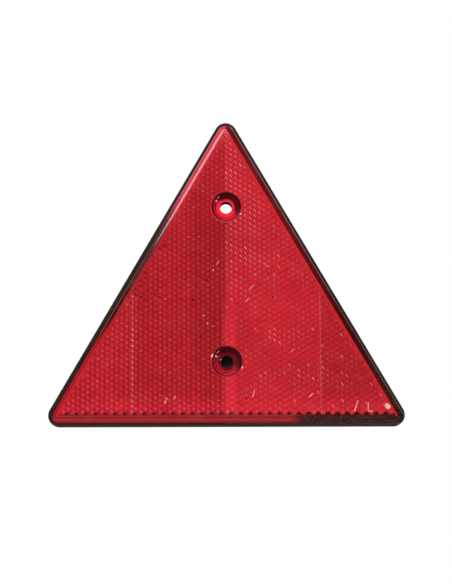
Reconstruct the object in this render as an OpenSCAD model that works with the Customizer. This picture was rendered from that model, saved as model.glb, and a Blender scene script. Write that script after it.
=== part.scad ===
// Triangular rear reflector for a trailer or caravan.
// A red lens with cube-corner prisms on its back is welded into a black tray.
// Two recessed screw holes lie on the upright centre line. The upper one runs
// through, and a thin web of the tray closes the lower one at the back.
// Origin: centre of the upper hole on the back face. The face looks along -Y.

/* [Outline] */
// Width of the tray across its two rounded lower corners
width = 158; // [130:1:190]
// Radius of the three corners
corner_r = 5; // [4.6:0.1:8]
// Depth from the back face to the front face
depth = 8; // [7.6:0.1:12]

/* [Tray] */
// Thickness of the tray's floor
floor_t = 1.6; // [1.2:0.1:2]
// Thickness of the wall round the lens
rim_t = 1.3; // [1:0.1:1.6]
// Height of that wall above the back face
rim_h = 4.6; // [3.6:0.1:5]
// Radius on the wall's outer edge at the front
rim_edge_r = 0.45; // [0.2:0.05:0.7]
// Radius on the tray's outer edge at the back
back_edge_r = 0.7; // [0.3:0.1:1.1]
// Depth of the shallow panel that keeps the middle of the back off the bodywork
panel_depth = 0.4; // [0.2:0.1:0.6]
// Width of the flat land round that panel
land_w = 7; // [6:0.5:12]
// Radius on that panel's corners
panel_r = 3; // [1:0.5:6]

/* [Lens] */
// Thickness of the front face
face_t = 2.2; // [1.8:0.1:2.6]
// Thickness of the skirt that stands in the tray
skirt_t = 1.6; // [1.2:0.1:1.8]
// Width of the rounded bevel round the face
bevel_w = 2.8; // [2.2:0.1:3]
// Height of the bevel
bevel_h = 3.2; // [2.6:0.1:3.6]
// Radius of the bevel's bulge
bevel_r = 4.5; // [3.8:0.1:8]
// Clearance between the skirt and the tray's wall
weld_gap = 0.1; // [0.05:0.05:0.2]

/* [Prisms] */
// Prisms in the outermost row along each side
side_prisms = 35; // [20:1:36]
// Bare border between the tray's outline and the outermost prisms
prism_border = 4.8; // [4.5:0.1:10]
// Solid height under the lowest corners of the prisms
prism_root = 0.2; // [0.15:0.05:0.4]
// Bare ring between a recess and the prisms round it
prism_gap = 0.5; // [0.2:0.1:2]

/* [Screw holes] */
// Distance between the two holes
hole_spacing = 70; // [50:1:80]
// Height of the lower hole above the bottom edge
hole_height = 28.5; // [24:0.5:34]
// Diameter of the screw holes
hole_d = 5.5; // [4:0.1:6]
// Diameter of the recess at the front face
recess_d = 13; // [11.5:0.1:14]
// Diameter of the recess at its floor
seat_d = 9.5; // [8.6:0.1:10.4]
// Depth of the recess
recess_depth = 2.2; // [1.8:0.1:2.6]
// Radius on the lip of the recess
lip_r = 0.6; // [0.3:0.1:0.9]
// Thickness of the cup that forms the recess
cup_t = 1.4; // [1.2:0.1:1.6]
// Diameter of the tray's bosses, which carry the cups
boss_d = 12; // [10:0.1:14]
// Thickness of the web that closes the lower hole at the back
web_t = 1; // [0.6:0.1:1.4]

/* [Hidden] */
$fn = 64;
over = 1;

// The outline is three corner circles, and these are the sides and the
// inner radius of the triangle that joins their centres.
core_side = width - 2 * corner_r;
core_inradius = core_side / (2 * sqrt(3));
bottom_y = -hole_spacing - hole_height;
middle_y = bottom_y + corner_r + core_inradius;

// Radii measured outwards from the corner centres.
lens_r = corner_r - rim_t - weld_gap;
cavity_r = lens_r - skirt_t;
face_r = lens_r - bevel_w;
ring_r = face_r / 3;

// Where a side and a corner would meet flush, rounding leaves them a hair apart.
// So the corners are slimmer by this much and lap into the sides, in degrees.
hair = 0.01;
lap = 1;

// Heights above the back face.
bevel_foot = depth - bevel_h;
ceiling = depth - face_t;
seat_h = depth - recess_depth;
cup_foot = seat_h - cup_t;

// The bevel's arc runs from the skirt to the face, so its centre lies on the
// line square to the middle of the chord between them.
chord = norm([bevel_w, bevel_h]);
sink = sqrt(bevel_r * bevel_r - chord * chord / 4);
arc_steps = 8;
arc_x = (lens_r + face_r) / 2 - sink * bevel_h / chord;
arc_y = (bevel_foot + depth) / 2 - sink * bevel_w / chord;

// A cube standing on its corner is a hexagon from above. The prisms fill the
// face inside the border, so their pitch across the flats follows from their
// number. Every corner of the honeycomb lies on a grid of half radii across and
// half pitches up, and on one of three levels, a third of a cube's diagonal apart.
prism_pitch = 2 * (core_inradius + corner_r - prism_border) / side_prisms;
prism_radius = prism_pitch / sqrt(3);
prism_step = prism_pitch / sqrt(6);
levels = [2, 0, 1];
corners = [[2, 0], [1, 1], [-1, 1], [-2, 0], [-1, -1], [1, -1]];
neighbours = [[1, 1], [0, 2], [-1, 1], [-1, -1], [0, -2], [1, -1]];
last = side_prisms - 1;
root_sink = 0.3;
fan_depth = 0.9;

// Where a grid point lies behind the face, and its foot inside the lens.
function third(u) = ((u % 3) + 3) % 3;
function place(u, v, z) = [u * prism_radius / 2, middle_y + v * prism_pitch / 2, z];
function peak(p) = place(p.x, p.y, ceiling - prism_root - prism_step * levels[third(p.x)]);
function foot(p) = place(p.x, p.y, ceiling + root_sink);

// The prism in column i and half row k belongs to the triangle of the field.
function kept(i, k) = (i + k) % 2 == 0 && k >= -last && k + 3 * abs(i) <= 2 * last;

module in_place() {
    rotate([90, 0, 0]) children();
}

// A triangle with rounded corners, as far inside the outline as inset says.
module rounded_triangle(inset, r) {
    inner = core_inradius + corner_r - inset - r;
    polygon([
        for (a = [-30, 90, 210])
            for (turn = [-55:10:55])
                2 * inner * [cos(a), sin(a)] + r / cos(5) * [cos(a + turn), sin(a + turn)]
    ]);
}

// The flat middle, up to radius r about the corner centres. It reaches into the
// section that is carried round it.
module core(low, high, r) {
    translate([0, middle_y, low])
        linear_extrude(high - low) rounded_triangle(corner_r - r, r);
}

// Carries a section round the outline, with x outwards from the corner centres
// and y as height. The first child goes along the sides, the second one, slimmer
// by a hair, round the corners and a little way into the sides.
module round_outline() {
    translate([0, middle_y, 0])
        for (a = [0, 120, 240])
            rotate(a) {
                translate([0, -core_inradius, 0])
                    rotate([90, 0, -90])
                        linear_extrude(core_side, center = true) children(0);
                translate([core_side / 2, -core_inradius, 0])
                    rotate(-90 - lap)
                        rotate_extrude(angle = 120 + 2 * lap) children(1);
            }
}

module at_holes() {
    for (y = [0, -hole_spacing])
        translate([0, y, 0]) children();
}

// Points along an arc about the bevel's centre, from one height up to another.
function bevel_arc(r, low, high) =
    let (from = asin((low - arc_y) / r), to = asin((high - arc_y) / r))
    [
        for (n = [0:arc_steps])
            let (a = from + (to - from) * n / arc_steps)
            [arc_x, arc_y] + r * [cos(a), sin(a)]
    ];

// Section of the face's edge, the bulging bevel and the skirt. The air space
// behind follows the bevel at the skirt's thickness.
module lens_section(slim) {
    inner_r = bevel_r - skirt_t;
    inner_foot = arc_y + sqrt(inner_r * inner_r - pow(cavity_r - arc_x, 2));
    outer = bevel_arc(bevel_r - slim, bevel_foot, depth);
    inner = bevel_arc(inner_r + slim, inner_foot, ceiling);
    polygon(concat(
        [[inner[0].x, floor_t], [outer[0].x, floor_t]],
        outer,
        [[ring_r + 5 * slim, depth], [ring_r + 5 * slim, ceiling]],
        [for (n = [0:arc_steps]) inner[arc_steps - n]]
    ));
}

// The lens without its prisms.
module shell() {
    core(ceiling, depth, 2 * ring_r);
    round_outline() {
        lens_section(0);
        lens_section(hair);
    }
}

// The field of cube corners, one closed solid whose back is the honeycomb of
// square facets. It stands on a root that is sunk into the lens, and a low
// pyramid inside the lens closes it there.
module prism_field() {
    cells = [for (i = [-last:last]) for (k = [-last:2 * last]) if (kept(i, k)) [i, k]];
    // Three squares a cell, each from its peak to a valley.
    facets = [
        for (c = cells)
            for (n = [0, 2, 4])
                [for (m = [[0, 0], corners[n], corners[n + 1], corners[(n + 2) % 6]])
                    peak([3 * c.x, c.y] + m)]
    ];
    // Where a cell has no neighbour, a wall drops from this edge to its foot.
    edges = [
        for (c = cells)
            for (n = [0:5])
                if (!kept(c.x + neighbours[n].x, c.y + neighbours[n].y))
                    [[3 * c.x, c.y] + corners[(n + 1) % 6], [3 * c.x, c.y] + corners[n]]
    ];
    squares = concat(facets, [for (e = edges) [peak(e[0]), peak(e[1]), foot(e[1]), foot(e[0])]]);
    tip = place(0, 0, ceiling + root_sink + fan_depth);
    fan = [for (e = edges) [foot(e[0]), foot(e[1]), tip]];
    polyhedron(
        concat([for (s = squares) each s], [for (t = fan) each t]),
        concat(
            [for (n = [0:len(squares) - 1]) [for (m = [0:3]) 4 * n + m]],
            [for (n = [0:len(fan) - 1]) [for (m = [0:2]) 4 * len(squares) + 3 * n + m]]
        )
    );
}

// A cup hangs behind the face at each screw hole and rests on a boss of the tray.
module cup() {
    translate([0, 0, cup_foot])
        cylinder(r = seat_d / 2 + cup_t, h = ceiling - cup_foot + face_t / 2);
}

// Tapered recess with a rounded lip, down to the seat of the screw's head.
module recess() {
    rotate_extrude()
        difference() {
            polygon([
                [0, seat_h],
                [seat_d / 2, seat_h],
                [recess_d / 2 - lip_r, depth - lip_r],
                [recess_d / 2, depth],
                [recess_d / 2, depth + over],
                [0, depth + over]
            ]);
            translate([recess_d / 2, depth - lip_r]) circle(lip_r);
        }
}

module screw_hole(low, high) {
    translate([0, 0, low]) cylinder(d = hole_d, h = high - low);
}

module lens() color([0.72, 0.08, 0.12]) in_place() {
    difference() {
        union() {
            shell();
            at_holes() cup();
        }
        at_holes() {
            recess();
            screw_hole(cup_foot - over, depth);
        }
    }
    difference() {
        prism_field();
        at_holes() cylinder(d = recess_d + 2 * prism_gap, h = depth);
    }
}

// Section of the tray's wall.
module tray_section(slim) {
    difference() {
        translate([corner_r - rim_t + slim, slim]) square([rim_t - 2 * slim, rim_h - 2 * slim]);
        translate([corner_r - slim, 0]) {
            edge_cut(rim_h - slim, rim_edge_r, 1);
            edge_cut(slim, back_edge_r, -1);
        }
    }
}

// What a radius takes off the outer edge at the given height.
module edge_cut(height, r, up) {
    difference() {
        translate([-r, height - (up > 0 ? r : over)]) square([r + over, r + over]);
        translate([-r, height - up * r]) circle(r);
    }
}

// The shallow panel in the back, with round lands left standing at the holes.
module back_panel() {
    difference() {
        translate([0, middle_y, -over])
            linear_extrude(panel_depth + over) rounded_triangle(land_w, panel_r);
        at_holes() translate([0, 0, -2 * over]) cylinder(d = boss_d, h = 3 * over);
    }
}

module back_plate() color([0.07, 0.07, 0.07]) in_place() difference() {
    union() {
        core(0, floor_t, corner_r - rim_t / 2);
        round_outline() {
            tray_section(0);
            tray_section(hair);
        }
        at_holes() cylinder(d = boss_d, h = cup_foot);
    }
    back_panel();
    screw_hole(-over, cup_foot + over);
    translate([0, -hole_spacing, 0]) screw_hole(web_t, cup_foot + over);
}

lens();
back_plate();
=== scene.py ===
import math

import bpy
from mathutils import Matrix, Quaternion, Vector

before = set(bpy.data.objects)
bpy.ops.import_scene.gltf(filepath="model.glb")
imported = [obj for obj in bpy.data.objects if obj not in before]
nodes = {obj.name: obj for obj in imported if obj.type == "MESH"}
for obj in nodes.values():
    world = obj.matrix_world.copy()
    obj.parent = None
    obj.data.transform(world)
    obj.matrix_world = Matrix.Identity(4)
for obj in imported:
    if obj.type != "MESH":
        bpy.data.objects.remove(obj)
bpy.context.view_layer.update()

scene = bpy.context.scene


def srgb(red, green, blue):
    # display values 0-255 to linear
    out = []
    for value in (red, green, blue):
        share = value / 255
        out.append(share / 12.92 if share <= 0.04045 else ((share + 0.055) / 1.055) ** 2.4)
    return tuple(out) + (1.0,)


class Net:
    # the node tree of a material or a world; node() makes every node of it
    def __init__(self, owner):
        self.owner = owner
        owner.use_nodes = True
        self.tree = owner.node_tree
        self.tree.nodes.clear()

    def node(self, kind, settings=(), **inputs):
        made = self.tree.nodes.new(kind)
        for key, value in dict(settings).items():
            setattr(made, key, value)
        for key, value in inputs.items():
            self.feed(made, key, value)
        return made

    def feed(self, made, key, value):
        # a socket by its name, or by its number as i0, i1 and so on
        slot = int(key[1:]) if key[0] == "i" and key[1:].isdigit() else key.replace("_", " ")
        socket = made.inputs[slot]
        if isinstance(value, Term):
            self.tree.links.new(value.socket, socket)
        else:
            socket.default_value = value

    def maths(self, operation, first, second=None):
        inputs = {"i0": first}
        if second is not None:
            inputs["i1"] = second
        made = self.node("ShaderNodeMath", {"operation": operation}, **inputs)
        return Term(self, made.outputs[0])

    def tint(self, factor, low, high, blend="MIX"):
        settings = {"data_type": "RGBA", "blend_type": blend}
        made = self.node("ShaderNodeMix", settings, i0=factor, i6=low, i7=high)
        return Term(self, made.outputs[2])

    def layers(self, colour, *rows):
        # paints each colour over the one before, where its mask is
        for mask, paint in rows:
            colour = self.tint(mask, colour, paint)
        return colour

    def noise(self, where, scale, detail, rough):
        made = self.node("ShaderNodeTexNoise", (), Vector=where, Scale=scale, Detail=detail, Roughness=rough)
        return Term(self, made.outputs["Fac"])

    def speckle(self, where):
        made = self.node("ShaderNodeTexWhiteNoise", {"noise_dimensions": "3D"}, Vector=where)
        return Term(self, made.outputs["Value"])

    def vector(self, x, y, z):
        made = self.node("ShaderNodeCombineXYZ", (), X=x, Y=y, Z=z)
        return Term(self, made.outputs[0])

    def surface(self, **inputs):
        shader = self.node("ShaderNodeBsdfPrincipled", (), **inputs)
        self.node("ShaderNodeOutputMaterial", (), Surface=Term(self, shader.outputs[0]))
        return self.owner


class Term:
    # one number in the shader, with arithmetic
    def __init__(self, net, socket):
        self.net = net
        self.socket = socket

    def __add__(self, other):
        return self.net.maths("ADD", self, other)

    def __radd__(self, other):
        return self.net.maths("ADD", other, self)

    def __sub__(self, other):
        return self.net.maths("SUBTRACT", self, other)

    def __rsub__(self, other):
        return self.net.maths("SUBTRACT", other, self)

    def __mul__(self, other):
        return self.net.maths("MULTIPLY", self, other)

    def __rmul__(self, other):
        return self.net.maths("MULTIPLY", other, self)

    def __truediv__(self, other):
        return self.net.maths("DIVIDE", self, other)

    def __rtruediv__(self, other):
        return self.net.maths("DIVIDE", other, self)

    def __neg__(self):
        return self.net.maths("MULTIPLY", self, -1.0)

    def __abs__(self):
        return self.net.maths("ABSOLUTE", self)

    def root(self):
        return self.net.maths("SQRT", self)

    def nearest(self):
        return self.net.maths("ROUND", self)

    def least(self, other):
        return self.net.maths("MINIMUM", self, other)

    def most(self, other):
        return self.net.maths("MAXIMUM", self, other)

    def over(self, other):
        return self.net.maths("GREATER_THAN", self, other)

    def rise(self, low, high):
        # 0 below low, 1 above high, eased between; falls where low is above high
        made = self.net.node("ShaderNodeMapRange", {"interpolation_type": "SMOOTHSTEP"},
                             Value=self, From_Min=low, From_Max=high)
        return Term(self.net, made.outputs[0])

    def between(self, low, high, edge):
        return self.rise(low - edge, low + edge) * self.rise(high + edge, high - edge)

    def wave(self, step, shift=0.0):
        # sine that repeats every step
        return self.net.maths("SINE", self * (2 * math.pi / step) + shift)

    def choose(self, low, high):
        # low at 0, high at 1
        made = self.net.node("ShaderNodeMix", {"data_type": "FLOAT"}, i0=self, i2=low, i3=high)
        return Term(self.net, made.outputs[0])


# millimetres, measured from the upper hole on the back face
shape = {
    "middleZ": -50.776,  # centre of the triangle
    "inradius": 47.724,
    "holes": (0.0, -70.0),
    "pitch": 2.4528,  # from prism to prism in a column
    "column": 2.1242,  # from column to column
    "faceDepth": 7.9,  # the flat face is further out than this
    "recessDepth": 6.0,  # the recess has its wall above this and its floor below
    "boreDepth": 5.65,
    "backDepth": 1.2,  # the web behind the lower hole ends before this
}


def place(net):
    # object coordinates in millimetres
    made = net.node("ShaderNodeTexCoord")
    parts = net.node("ShaderNodeSeparateXYZ", (), Vector=Term(net, made.outputs["Object"]))
    return tuple(Term(net, parts.outputs[n]) * 1000.0 for n in range(3))


def length(first, second):
    return (first * first + second * second).root()


def allOf(masks):
    # the union of masks
    whole = masks[0]
    for mask in masks[1:]:
        whole = whole.most(mask)
    return whole


def sideDistances(x, z):
    # distance inside the outline from the bottom, the right and the left side
    up = z - shape["middleZ"]
    slant = x * math.cos(math.radians(30))
    half = up * 0.5
    bottom = up + shape["inradius"]
    right = shape["inradius"] - (slant + half)
    left = shape["inradius"] - (half - slant)
    return bottom, right, left


class Spot:
    # the shaded point in millimetres, its distances from the sides and from the nearest hole's axis
    def __init__(self, net):
        self.x, self.y, self.z = place(net)
        self.depth = -self.y
        self.bottom, self.right, self.left = sideDistances(self.x, self.z)
        self.inside = self.bottom.least(self.right).least(self.left)
        upperReach, lowerReach = (length(self.x, self.z - holeZ) for holeZ in shape["holes"])
        self.hole = upperReach.least(lowerReach)
        self.solid = net.vector(self.x, self.y, self.z)


class Prism:
    # the nearest prism of two interleaved rectangular grids, and the facet of it under the point
    def __init__(self, net, at):
        column, pitch = shape["column"], shape["pitch"]
        up = at.z - shape["middleZ"]
        firstX, firstZ = self.offset(at.x, 2 * column), self.offset(up, pitch)
        secondX, secondZ = self.offset(at.x - column, 2 * column), self.offset(up - pitch / 2, pitch)
        second = (firstX * firstX + firstZ * firstZ).over(secondX * secondX + secondZ * secondZ)
        self.x = second.choose(firstX, secondX)  # from the prism's centre
        self.z = second.choose(firstZ, secondZ)
        self.middleX, self.middleZ = at.x - self.x, at.z - self.z
        row = ((self.middleZ - shape["middleZ"]) / (pitch / 2)).nearest()
        self.chance = net.speckle(net.vector((self.middleX / column).nearest(), row, 0.0))

        # the three facets lean up to the right, left, and down to the right
        upper = self.x * 0.5 + self.z * 0.866
        side = -self.x
        lower = self.x * 0.5 - self.z * 0.866
        self.upper = upper.over(side) * upper.over(lower)
        self.side = side.over(lower) * (1.0 - self.upper)
        self.lower = 1.0 - self.upper - self.side
        facet = net.vector(self.middleX * 3.1 + self.side, self.middleZ * 1.7 + self.lower, self.upper)
        self.facetChance = net.speckle(facet)
        self.leanX = self.upper * 0.5 - self.side + self.lower * 0.5
        self.leanZ = self.upper * 0.866 - self.lower * 0.866

        # 0 at the centre, 1 at the hexagonal border
        across = abs(self.x * 0.866 + self.z * 0.5).most(abs(self.x * 0.866 - self.z * 0.5))
        self.rim = abs(self.z).most(across) / (pitch / 2)

    def offset(self, value, step):
        return value - (value / step).nearest() * step


def streak(at, row):
    # mask of a thin mark between two points: distance to the segment, eased out at its width
    (x1, z1), (x2, z2), width = row
    dx, dz = x2 - x1, z2 - z1
    size = dx * dx + dz * dz
    along = ((at.x - x1) * (dx / size) + (at.z - z1) * (dz / size)).most(0.0).least(1.0)
    return length(at.x - x1 - along * dx, at.z - z1 - along * dz).rise(width, width * 0.45)


lensLook = {
    # the face
    "fieldLeft": srgb(180, 29, 39),
    "fieldRight": srgb(196, 33, 45),
    "wedge": srgb(158, 22, 31),
    "strip": srgb(220, 42, 60),
    "pale": srgb(236, 172, 166),
    "spark": srgb(240, 70, 104),
    "edge": srgb(112, 14, 22),
    "gap": srgb(50, 8, 10),
    "border": srgb(122, 23, 29),
    # the bevel
    "bevelDark": srgb(46, 11, 12),
    "bevelRed": srgb(194, 31, 45),
    "bevelPink": srgb(206, 48, 70),
    # the recesses, in painted light and shade: lit and shaded reds, a dark lip line and a dark bore
    "cupShade": srgb(66, 8, 14),
    "cupLine": srgb(150, 22, 36),
    "cupWall": srgb(178, 24, 42),
    "cupRed": srgb(222, 34, 58),
    "cupDark": srgb(74, 10, 16),
    "lip": srgb(30, 5, 8),
    "bore": srgb(60, 8, 12),
    # wear and dust, and painted white highlights (gleam); the dust colour also paints edge highlights
    "gleam": srgb(250, 236, 234),
    "dustAndHighlight": srgb(165, 135, 122),
    "chip": srgb(214, 190, 168),
    # millimetres inside the outline
    "bevelEnd": 4.22,
    "fieldEdge": 5.4,
    # millimetres from a hole's axis
    "clearRing": 7.0,
    "recessEdge": 6.75,
    "lipRing": (5.95, 6.62),
    "hoopRing": (5.15, 5.35),
    "floorRim": (4.60, 4.90),
    "redRing": (4.15, 4.45),
    # the seams right and left of the centre line
    "seamX": 41.62,
    # noises: scale in 1/mm, detail, roughness
    "broadNoise": (0.035, 2.0, 0.5),
    "patchNoise": (0.11, 3.0, 0.6),
    "fineNoise": (2.0, 2.0, 0.6),
    "pitNoise": (0.9, 2.0, 0.5),
    "smearNoise": (0.9, 3.0, 0.6),
    "grainNoise": (1.6, 3.0, 0.65),
    "fleckNoise": (3.2, 2.0, 0.6),
    "filmNoise": (0.25, 4.0, 0.6),
    # how strongly the prisms show
    "sideShade": 0.10,
    "lowerShade": 0.08,
    "chanceShade": 0.08,
    "facetShade": 0.20,
    "fineShade": 1.0,
    "lineShade": (0.14, 0.12),  # left half, right half
    "columnShade": 0.20,
    "tilt": 0.55,
    # how strongly they glint
    "dashGlint": (0.02, 0.24, 0.34, 0.40),  # everywhere, in patches, near the centre line, single ones
    "dotGlint": (0.04, 0.14, 0.10, 0.25),  # everywhere, in patches, on about half, single ones
    "dashTurn": (0.574, 0.819),
    "sparkGlint": 0.75,
    "seamGlint": (0.50, 0.12),  # left seam, right seam
}

# pale scratches: two ends and a half width
scratches = (
    ((57.9, -87.6), (56.3, -92.1), 0.30),
    ((62.5, -88.6), (62.3, -92.2), 0.24),
    ((62.3, -92.2), (64.2, -92.3), 0.22),
    ((36.4, -86.0), (37.8, -84.4), 0.24),
    ((28.4, -66.0), (30.2, -64.2), 0.20),
    ((11.4, -85.6), (12.2, -83.0), 0.22),
    ((-27.4, -88.4), (-26.4, -86.4), 0.28),
    ((-23.4, -86.8), (-22.8, -85.6), 0.26),
    ((10.0, -38.0), (12.2, -35.8), 0.22),
    ((8.6, -43.4), (10.0, -41.6), 0.22),
    ((-4.4, -26.6), (-3.4, -24.8), 0.24),
    ((-5.9, -29.2), (-5.8, -28.8), 0.40),
    ((-10.4, -49.6), (-10.0, -49.6), 0.42),
    ((-8.6, -53.4), (-8.5, -52.8), 0.36),
    ((18.3, -27.2), (18.4, -27.0), 0.40),
    ((18.4, -33.0), (18.5, -32.8), 0.32),
)
# small white gleams in and beside the recesses
gleams = (
    ((-4.5, 2.7), (-4.2, 3.1), 0.30),
    ((-3.9, 3.9), (-3.0, 4.9), 0.10),
    ((6.3, -3.6), (6.6, -3.2), 0.26),
    ((-4.8, -67.4), (-4.4, -67.7), 0.34),
    ((-6.7, -68.0), (-6.3, -67.0), 0.26),
    ((-2.6, -69.0), (-2.5, -68.9), 0.26),
    ((6.8, -72.9), (7.0, -72.4), 0.26),
    ((-4.3, -66.2), (-3.3, -65.2), 0.10),
)
# dark pits where a prism is spoilt
pits = (
    (-27.6, -17.7), (-29.7, -18.9), (-36.1, -27.5), (-36.1, -29.9), (-38.2, -31.2), (-36.1, -32.4),
    (-38.2, -33.6), (-8.5, -33.6), (-40.4, -34.8), (-38.2, -36.1), (-40.4, -37.3), (-42.5, -38.5),
    (-40.4, -39.7), (-31.9, -39.7), (-38.2, -41.0), (-29.7, -41.0), (-36.1, -42.2), (-14.9, -42.2),
    (-42.5, -43.4), (8.6, -86.5), (20.8, -41.0),
)
chipPlace = (70.9, -90.0)


def fieldMask(at, prism):
    # whole prisms only: a prism belongs to the field by its centre's place
    bottom, right, left = sideDistances(prism.middleX, prism.middleZ)
    field = bottom.least(right).least(left).over(lensLook["fieldEdge"])
    return field * at.hole.over(lensLook["clearRing"]) * at.depth.over(shape["faceDepth"])


def prismColour(net, at, prism, field):
    look = lensLook
    x, z = at.x, at.z
    flatSpot = net.vector(x, z, 0.0)
    broad = net.noise(flatSpot, *look["broadNoise"])
    patch = net.noise(flatSpot, *look["patchNoise"])
    rightHalf = x.rise(-1.6, 1.0)

    # panels and soft patches
    wedge = x.between(-15.0, -0.9, 2.4) * z.between(-78.0, 2.0, 14.0)
    strip = x.between(-1.6, 4.0, 0.5) * z.rise(-36.0, -62.0)
    lowBand = at.bottom.rise(16.0, 7.0)
    colour = net.layers(
        net.tint(rightHalf, look["fieldLeft"], look["fieldRight"]),
        (wedge * 0.6, look["wedge"]),
        (strip * 0.8, look["strip"]),
        (x.rise(-41.0, -42.6) * 0.55, look["fieldRight"]),
        (x.rise(41.2, 42.2) * 0.45, look["wedge"]),
        (lowBand * 0.5, look["strip"]),
        (broad.rise(0.42, 0.68) * 0.28, look["wedge"]),
    )

    # shade of the facets, then the dark lines between prisms
    shade = 1.0 - prism.side * (look["sideShade"] * (2.0 - rightHalf))
    shade = shade - prism.lower * look["lowerShade"] * rightHalf
    shade = shade + (prism.chance - 0.5) * look["chanceShade"]
    shade = shade + (prism.facetChance - 0.5) * look["facetShade"]
    shade = shade + (net.noise(flatSpot, *look["fineNoise"]) - 0.5) * look["fineShade"]
    columnLine = abs(abs(prism.x) - shape["column"] / 2).rise(0.55, 0.1) * (1.0 - rightHalf)
    shade = shade - prism.rim.rise(0.74, 1.0) * rightHalf.choose(*look["lineShade"])
    shade = shade - columnLine * look["columnShade"]
    dark = net.tint(1.0, colour, look["edge"], "MULTIPLY")
    colour = net.tint((1.0 - shade).most(0.0).least(1.0), colour, dark)

    # pale glints: slanted dashes right of the centre line, dots left of it
    turnX, turnZ = look["dashTurn"]
    along = (prism.x - 0.15) * turnX - (prism.z + 0.1) * turnZ
    across = (prism.x - 0.15) * turnZ + (prism.z + 0.1) * turnX
    dash = abs(across).rise(0.26, 0.06) * abs(along).rise(1.05, 0.55)
    dot = length(prism.x - 0.3, prism.z - 0.1).rise(0.38, 0.12)
    nearLine = x.rise(26.0, 3.0) * z.rise(-52.0, -18.0) * patch.rise(0.30, 0.55)
    base, patchy, line, single = look["dashGlint"]
    dashes = base + patchy * patch.rise(0.44, 0.70) + line * nearLine + single * prism.chance.over(0.95)
    base, patchy, common, single = look["dotGlint"]
    dots = base + patchy * patch.rise(0.50, 0.74) + common * prism.chance.over(0.45)
    dots = dots + single * prism.chance.over(0.965)
    glint = rightHalf.choose(dot * dots, dash * dashes)
    seam = abs(abs(x) - look["seamX"]).rise(0.42, 0.12)
    beads = z.wave(shape["pitch"]).rise(0.1, 0.95) * patch.rise(0.30, 0.60)
    glint = glint + seam * (0.07 + beads * rightHalf.choose(*look["seamGlint"]))

    # spoilt prisms, most of them near the left side
    pitted = allOf([length(x - pitX, z - pitZ).rise(0.66, 0.30) * 0.9 for pitX, pitZ in pits])
    pitted = pitted.most(net.noise(flatSpot, *look["pitNoise"]).rise(0.74, 0.80) * 0.5)
    sparkle = dot * prism.facetChance.over(0.45) * lowBand
    return net.layers(
        colour,
        (sparkle * look["sparkGlint"] * field, look["spark"]),
        ((glint * field).least(0.85), look["pale"]),
        (pitted, look["gap"]),
    )


def borderColour(net, at, sides):
    # the bare border round the prisms: dark gaps between the outermost ones, strongest along the bottom
    look = lensLook
    bottomSide, rightSide, leftSide = sides
    wide = 2 * shape["column"]
    dull = 0.85 - 0.45 * (1.0 - rightSide) * at.z.rise(-5.0, -20.0) * at.z.rise(-72.0, -50.0)
    teeth = at.x.wave(wide, -0.9).rise(0.25, 0.75) * bottomSide * at.inside.between(4.9, 6.0, 0.25)
    # pale dots at the ends of the dark gaps along the bottom: painted highlights
    prick = at.x.wave(wide, 1.1).rise(0.80, 0.97) * bottomSide * at.inside.between(5.2, 6.1, 0.2)
    groove = at.inside.between(4.15, 4.35, 0.10) * bottomSide
    shaded = bottomSide * at.x.rise(28.0, 35.0) * at.inside.rise(6.2, 5.6)
    slanted = net.tint(dull, look["border"], look["fieldLeft"])
    return net.layers(
        net.tint(bottomSide, slanted, look["border"]),
        (teeth * 0.85, look["gap"]),
        (prick * at.x.rise(8.0, -30.0) * 0.8, look["pale"]),
        (groove * 0.22, look["dustAndHighlight"]),
        (shaded * 0.9, look["gap"]),
    )


def bevelColour(net, at, sides):
    # dark where the tray shows through, lit red or pink where light runs in it
    look = lensLook
    bottomSide, rightSide, leftSide = sides
    inside, x, z = at.inside, at.x, at.z
    lit = inside.rise(0.9, 2.8) * inside.rise(3.9, 2.9).most(0.45) * bottomSide * x.rise(34.0, 27.0)
    litLeft = inside.between(1.5, 3.9, 0.35) * leftSide * z.rise(-14.0, 8.0)
    lowLeft = inside.rise(2.0, 2.7) * leftSide * z.rise(-48.0, -66.0)
    inner = inside.between(4.05, 4.6, 0.15) * (1.0 - bottomSide)
    # a thin pale line along the middle of the left bevel: dust and a painted edge highlight
    thread = inside.between(2.35, 2.55, 0.12) * leftSide * z.rise(-6.0, -16.0) * z.rise(-62.0, -50.0)
    smear = net.noise(net.vector(x * 0.6, at.y, z * 0.6), *look["smearNoise"])
    return net.layers(
        look["bevelDark"],
        (lit * 0.9, look["bevelRed"]),
        (rightSide * z.rise(-70.0, 25.0) * 0.28, look["cupLine"]),
        (litLeft * 0.80, look["bevelPink"]),
        (lowLeft * 0.42, look["bevelRed"]),
        (inner * 0.5, look["bevelRed"]),
        (thread * 0.45, look["dustAndHighlight"]),
        (smear.rise(0.45, 0.75) * 0.25, look["border"]),
    )


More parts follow.
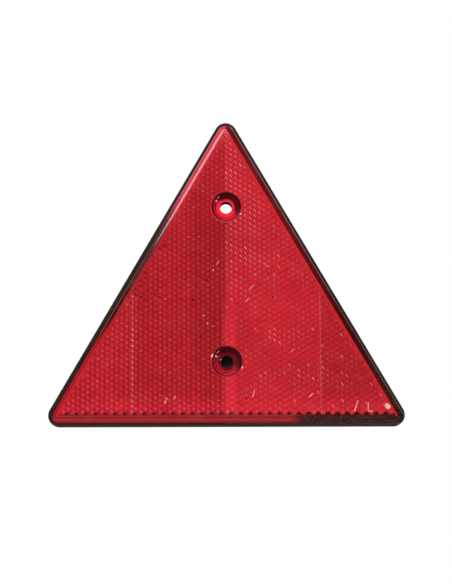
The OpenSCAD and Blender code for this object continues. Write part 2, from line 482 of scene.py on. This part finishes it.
def cupColour(net, at, grain, upper, lean):
    # a recess in painted light and shade: painted shade towards the upper right, painted light towards the
    # lower left, a painted dark line round the lip
    look = lensLook
    hole = at.hole
    shadow = lean.rise(-0.35, 0.30)
    wall = net.layers(
        net.tint(shadow, look["cupWall"], look["cupShade"]),
        (hole.between(*look["hoopRing"], 0.10) * shadow * 0.7, look["cupLine"]),
        (hole.between(*look["lipRing"], 0.10) * (0.9 - 0.35 * shadow), look["lip"]),
    )
    # painted shadow on the floor towards the upper right
    floorShadow = hole.rise(3.3, 4.1) * lean.rise(-0.1, 0.5)
    redFloor = net.tint(floorShadow * 0.9, look["cupRed"], look["cupShade"])
    # the lower recess's floor is painted in shade, darker than the upper one's, with a painted lit red ring
    # towards the lower left
    shadedFloor = net.layers(
        look["cupDark"],
        (grain.rise(0.45, 0.70) * 0.5, look["cupLine"]),
        (hole.between(*look["redRing"], 0.12) * lean.rise(0.6, -0.2), look["cupRed"]),
    )
    floor = net.tint(upper, shadedFloor, redFloor)
    # painted dark line in the crease round the floor
    floor = net.tint(hole.between(*look["floorRim"], 0.10) * 0.8, floor, look["lip"])
    deep = at.depth.rise(shape["recessDepth"] + 0.1, shape["recessDepth"] - 0.1)
    # painted dark shade deep in the bore
    inBore = at.depth.rise(shape["boreDepth"] + 0.05, shape["boreDepth"] - 0.05) * hole.rise(3.0, 2.9)
    return net.layers(wall, (deep, floor), (inBore, look["bore"]))


def lensMaterial():
    look = lensLook
    net = Net(bpy.data.materials.new("redLens"))
    at = Spot(net)
    prism = Prism(net, at)
    field = fieldMask(at, prism)
    front = at.depth.over(shape["faceDepth"])
    grain = net.noise(at.solid, *look["grainNoise"])
    bottomSide = (at.right.least(at.left) - at.bottom).rise(-1.0, 1.0)
    rightSide = (at.left - at.right).rise(-0.6, 0.6) * (1.0 - bottomSide)
    leftSide = (1.0 - rightSide) * (1.0 - bottomSide)
    sides = bottomSide, rightSide, leftSide

    inBevel = at.inside.rise(look["bevelEnd"] + 0.10, look["bevelEnd"] - 0.10)
    colour = net.tint(field, borderColour(net, at, sides), prismColour(net, at, prism, field))
    colour = net.tint(inBevel, colour, bevelColour(net, at, sides))

    # pale line in the joint between lens and tray: partly dust, partly a painted edge highlight; a paler
    # painted edge highlight lies just inside it
    joint = 0.05 + 0.75 * rightSide + 0.10 * bottomSide + 0.55 * leftSide * at.z.rise(-20.0, 10.0)
    joint = joint * at.inside.between(1.50, 1.68, 0.09) * grain.rise(0.30, 0.60)
    edgeHighlight = rightSide * at.z.rise(-70.0, 10.0) * 0.45 + leftSide * at.z.rise(-5.0, 12.0) * 0.35
    lowRight = at.x.rise(22.0, 40.0) * at.z.rise(-60.0, -88.0)
    fleck = net.noise(at.solid, *look["fleckNoise"]).rise(0.60, 0.70)

    # the recesses, read round their axis: lean is 1 towards the upper right, -1 towards the lower left
    upper = at.z.over(sum(shape["holes"]) / 2)
    aboveHole = upper.choose(at.z - shape["holes"][1], at.z)
    lean = (at.x * 0.60 + aboveHole * 0.80) / at.hole.most(0.5)
    inCup = at.hole.rise(look["recessEdge"] + 0.07, look["recessEdge"] - 0.07)
    # painted pink highlight on the rim outside the lower left of each recess
    halo = at.hole.between(6.85, 7.2, 0.15) * lean.rise(0.1, -0.5)
    gleam = allOf([streak(at, row) for row in gleams]) * at.depth.over(5.0)

    # scratches, and a chip of the surface
    worn = allOf([streak(at, row) for row in scratches]) * grain.rise(0.25, 0.50)
    chipX, chipZ = at.x - chipPlace[0], at.z - chipPlace[1]
    chip = (abs(chipX) * 0.9 + abs(chipZ + chipX * 0.25) + (grain - 0.5) * 3.2).rise(1.60, 1.20)
    chip = chip * front * grain.rise(0.30, 0.42)
    film = net.noise(net.vector(at.x * 0.5, at.y, at.z * 0.5), *look["filmNoise"])
    colour = net.layers(
        colour,
        (joint, look["dustAndHighlight"]),
        (edgeHighlight * at.inside.between(1.50, 1.82, 0.09), look["pale"]),
        (fleck * inBevel * lowRight * 0.55, look["dustAndHighlight"]),
        (inCup, cupColour(net, at, grain, upper, lean)),
        (halo * 0.5, look["bevelPink"]),
        (gleam, look["gleam"]),
        (worn * front * at.z.rise(-70.0, -86.0).choose(0.5, 0.85), look["pale"]),
        (chip, look["chip"]),
        (film.rise(0.50, 0.80) * 0.05, look["dustAndHighlight"]),
    )

    # the facets turn the base's normal; the coat over them stays flat
    made = net.node("ShaderNodeNewGeometry")
    tilt = net.vector(prism.leanX * field * look["tilt"], 0.0, prism.leanZ * field * look["tilt"])
    turned = net.node("ShaderNodeVectorMath", {"operation": "ADD"},
                      i0=Term(net, made.outputs["Normal"]), i1=tilt)
    turned = net.node("ShaderNodeVectorMath", {"operation": "NORMALIZE"}, i0=Term(net, turned.outputs[0]))
    bump = net.node("ShaderNodeBump", (), Strength=0.25, Distance=0.0002, Height=grain + worn * 0.8 + chip,
                    Normal=Term(net, turned.outputs[0]))

    # the coat is duller under dust and wear, in the recesses and on most of the bevel
    ticks = (at.x * 0.5 + at.z * 0.866).wave(2 * math.pi / 6.0).rise(-1.0, 1.0) * grain.rise(0.3, 0.6)
    coat = (0.95 - film.rise(0.45, 0.85) * 0.25 - chip * 0.8 - worn * 0.5).most(0.0)
    coat = coat * (1.0 - inBevel * bottomSide * 0.8)
    coat = coat * (1.0 - inBevel * leftSide * (ticks * 0.55).most(at.z.rise(-11.0, -20.0) * 0.9))
    coat = coat * (1.0 - inCup * 0.75) * (1.0 - 0.6 * inBevel * rightSide)
    return net.surface(Base_Color=colour, Roughness=0.34 + film * 0.14 + worn * 0.3, Coat_Weight=coat,
                       Coat_Roughness=0.05, Coat_IOR=1.49, Metallic=field * 0.25, IOR=1.49,
                       Specular_IOR_Level=0.0, Normal=Term(net, bump.outputs[0]))


trayLook = {
    "black": srgb(23, 9, 8),
    "worn": srgb(64, 50, 44),
    "back": srgb(42, 38, 37),
    "dustAndHighlight": srgb(150, 136, 118),
    "hole": srgb(56, 8, 11),
    # noises: scale in 1/mm, detail, roughness
    "broadNoise": (0.12, 3.0, 0.6),
    "grainNoise": (2.4, 3.0, 0.65),
    "fineNoise": (6.0, 2.0, 0.6),
}


def trayMaterial():
    look = trayLook
    net = Net(bpy.data.materials.new("blackTray"))
    at = Spot(net)
    broad = net.noise(at.solid, *look["broadNoise"])
    grain = net.noise(at.solid, *look["grainNoise"])
    fine = net.noise(at.solid, *look["fineNoise"])
    lowEdge = at.bottom.rise(2.4, 0.6)
    rightEdge = (at.left - at.right).rise(-1.0, 1.0)
    # a pale line on the tray's inner rim, strongest on the right: dust and a painted edge highlight
    joint = at.inside.between(1.05, 1.45, 0.12) * (0.05 + 0.25 * rightEdge) * at.depth.over(2.0)
    dusty = (0.25 + at.x.rise(20.0, 70.0) * at.z.rise(-50.0, -95.0)) * fine.rise(0.60, 0.70)
    # dark red painted inside the bore: painted shade
    inHole = at.hole.rise(3.4, 3.0) * at.depth.rise(shape["backDepth"] - 0.15, shape["backDepth"] + 0.20)
    colour = net.layers(
        look["black"],
        (broad.rise(0.35, 0.75) * 0.35, look["worn"]),
        (at.y.rise(-3.0, -1.0) * (0.6 + 0.4 * broad), look["back"]),
        (lowEdge * (0.35 + 0.4 * grain.rise(0.4, 0.7)), look["worn"]),
        (joint * grain.rise(0.35, 0.6), look["dustAndHighlight"]),
        (dusty * 0.7, look["dustAndHighlight"]),
        (inHole, look["hole"]),
    )
    bump = net.node("ShaderNodeBump", (), Strength=0.35, Distance=0.0002, Height=grain * 0.6 + fine * 0.4)
    rough = 0.42 + broad * 0.18 + dusty * 0.2 + inHole * 0.4
    return net.surface(Base_Color=colour, Roughness=rough, Specular_IOR_Level=0.09,
                       Normal=Term(net, bump.outputs[0]))


def dress(node, material):
    mesh = nodes[node].data
    mesh.materials.clear()
    mesh.materials.append(material)


dress("lens", lensMaterial())
dress("back_plate", trayMaterial())
print("materials done")

stageLook = {
    "floorZ": -0.32,  # metres
    "floorSize": 1.6,
    "floor": (0.80, 0.80, 0.79, 1.0),
    "mottle": (0.70, 0.70, 0.70, 1.0),
    "mottleNoise": (0.02, 3.0, 0.5),
    "air": 0.10,  # strength of the light from all round
}


def makeFloor():
    half = stageLook["floorSize"] / 2
    level = stageLook["floorZ"]
    mesh = bpy.data.meshes.new("floor")
    corners = [(-half, -half, level), (half, -half, level), (half, half, level), (-half, half, level)]
    mesh.from_pydata(corners, [], [(0, 1, 2, 3)])
    floor = bpy.data.objects.new("floor", mesh)
    scene.collection.objects.link(floor)
    net = Net(bpy.data.materials.new("floorPaint"))
    mottle = net.noise(net.vector(*place(net)), *stageLook["mottleNoise"])
    pale = net.tint(mottle * 0.06, stageLook["floor"], stageLook["mottle"])
    mesh.materials.append(net.surface(Base_Color=pale, Roughness=0.8))


makeFloor()
print("floor done")

cameraLook = {
    "target": (-0.0002, -0.008, -0.0389),  # metres
    "distance": 0.7497,
    "azimuth": -1.1,  # degrees
    "elevation": -9.3,
    "roll": -0.25,
    "lens": 103.7,
    "sensor": 36.0,
    "nearest": 0.01,
}


def makeCamera():
    azimuth = math.radians(cameraLook["azimuth"])
    elevation = math.radians(cameraLook["elevation"])
    level = math.cos(elevation)
    back = Vector((math.sin(azimuth) * level, -math.cos(azimuth) * level, math.sin(elevation)))
    camera = bpy.data.objects.new("camera", bpy.data.cameras.new("camera"))
    camera.data.lens = cameraLook["lens"]
    camera.data.sensor_width = cameraLook["sensor"]
    camera.data.clip_start = cameraLook["nearest"]
    camera.location = Vector(cameraLook["target"]) + back * cameraLook["distance"]
    aim = (-back).to_track_quat("-Z", "Y")
    turn = Quaternion((0.0, 0.0, 1.0), math.radians(cameraLook["roll"]))
    camera.rotation_mode = "QUATERNION"
    camera.rotation_quaternion = aim @ turn
    scene.collection.objects.link(camera)
    scene.camera = camera


makeCamera()
print("camera done")

# direction from the object, distance, size across and up, power
lights = {
    "sideBox": ((-0.7325, -0.27, 0.638), 1.0, 0.25, 0.19, 1.8),
    "frontBox": ((-0.35, -1.0, 0.95), 1.5, 1.3, 1.3, 34.0),
    "fillBox": ((0.9, -0.9, -0.1), 1.7, 0.9, 0.9, 5.0),
    "backBox": ((0.3, 1.0, 0.6), 1.8, 1.2, 1.2, 15.0),
}
lightsMiddle = (0.0, -0.004, -0.045)


def makeLights():
    for name, (way, distance, across, tall, power) in lights.items():
        lamp = bpy.data.lights.new(name, "AREA")
        lamp.shape = "RECTANGLE"
        lamp.size = across
        lamp.size_y = tall
        lamp.energy = power
        holder = bpy.data.objects.new(name, lamp)
        direction = Vector(way).normalized()
        holder.location = Vector(lightsMiddle) + direction * distance
        holder.rotation_mode = "QUATERNION"
        holder.rotation_quaternion = (-direction).to_track_quat("-Z", "Y")
        scene.collection.objects.link(holder)


def makeWorld():
    # the camera sees white; everything else is lit by a dimmer grey
    net = Net(bpy.data.worlds.new("studio"))
    path = net.node("ShaderNodeLightPath")
    strength = net.node("ShaderNodeMapRange", (), Value=Term(net, path.outputs["Is Camera Ray"]),
                        To_Min=stageLook["air"], To_Max=1.0)
    background = net.node("ShaderNodeBackground", (), Color=(1.0, 1.0, 1.0, 1.0),
                          Strength=Term(net, strength.outputs[0]))
    net.node("ShaderNodeOutputWorld", (), Surface=Term(net, background.outputs[0]))
    scene.world = net.owner


makeLights()
makeWorld()
scene.view_settings.view_transform = "Standard"
print("light done")
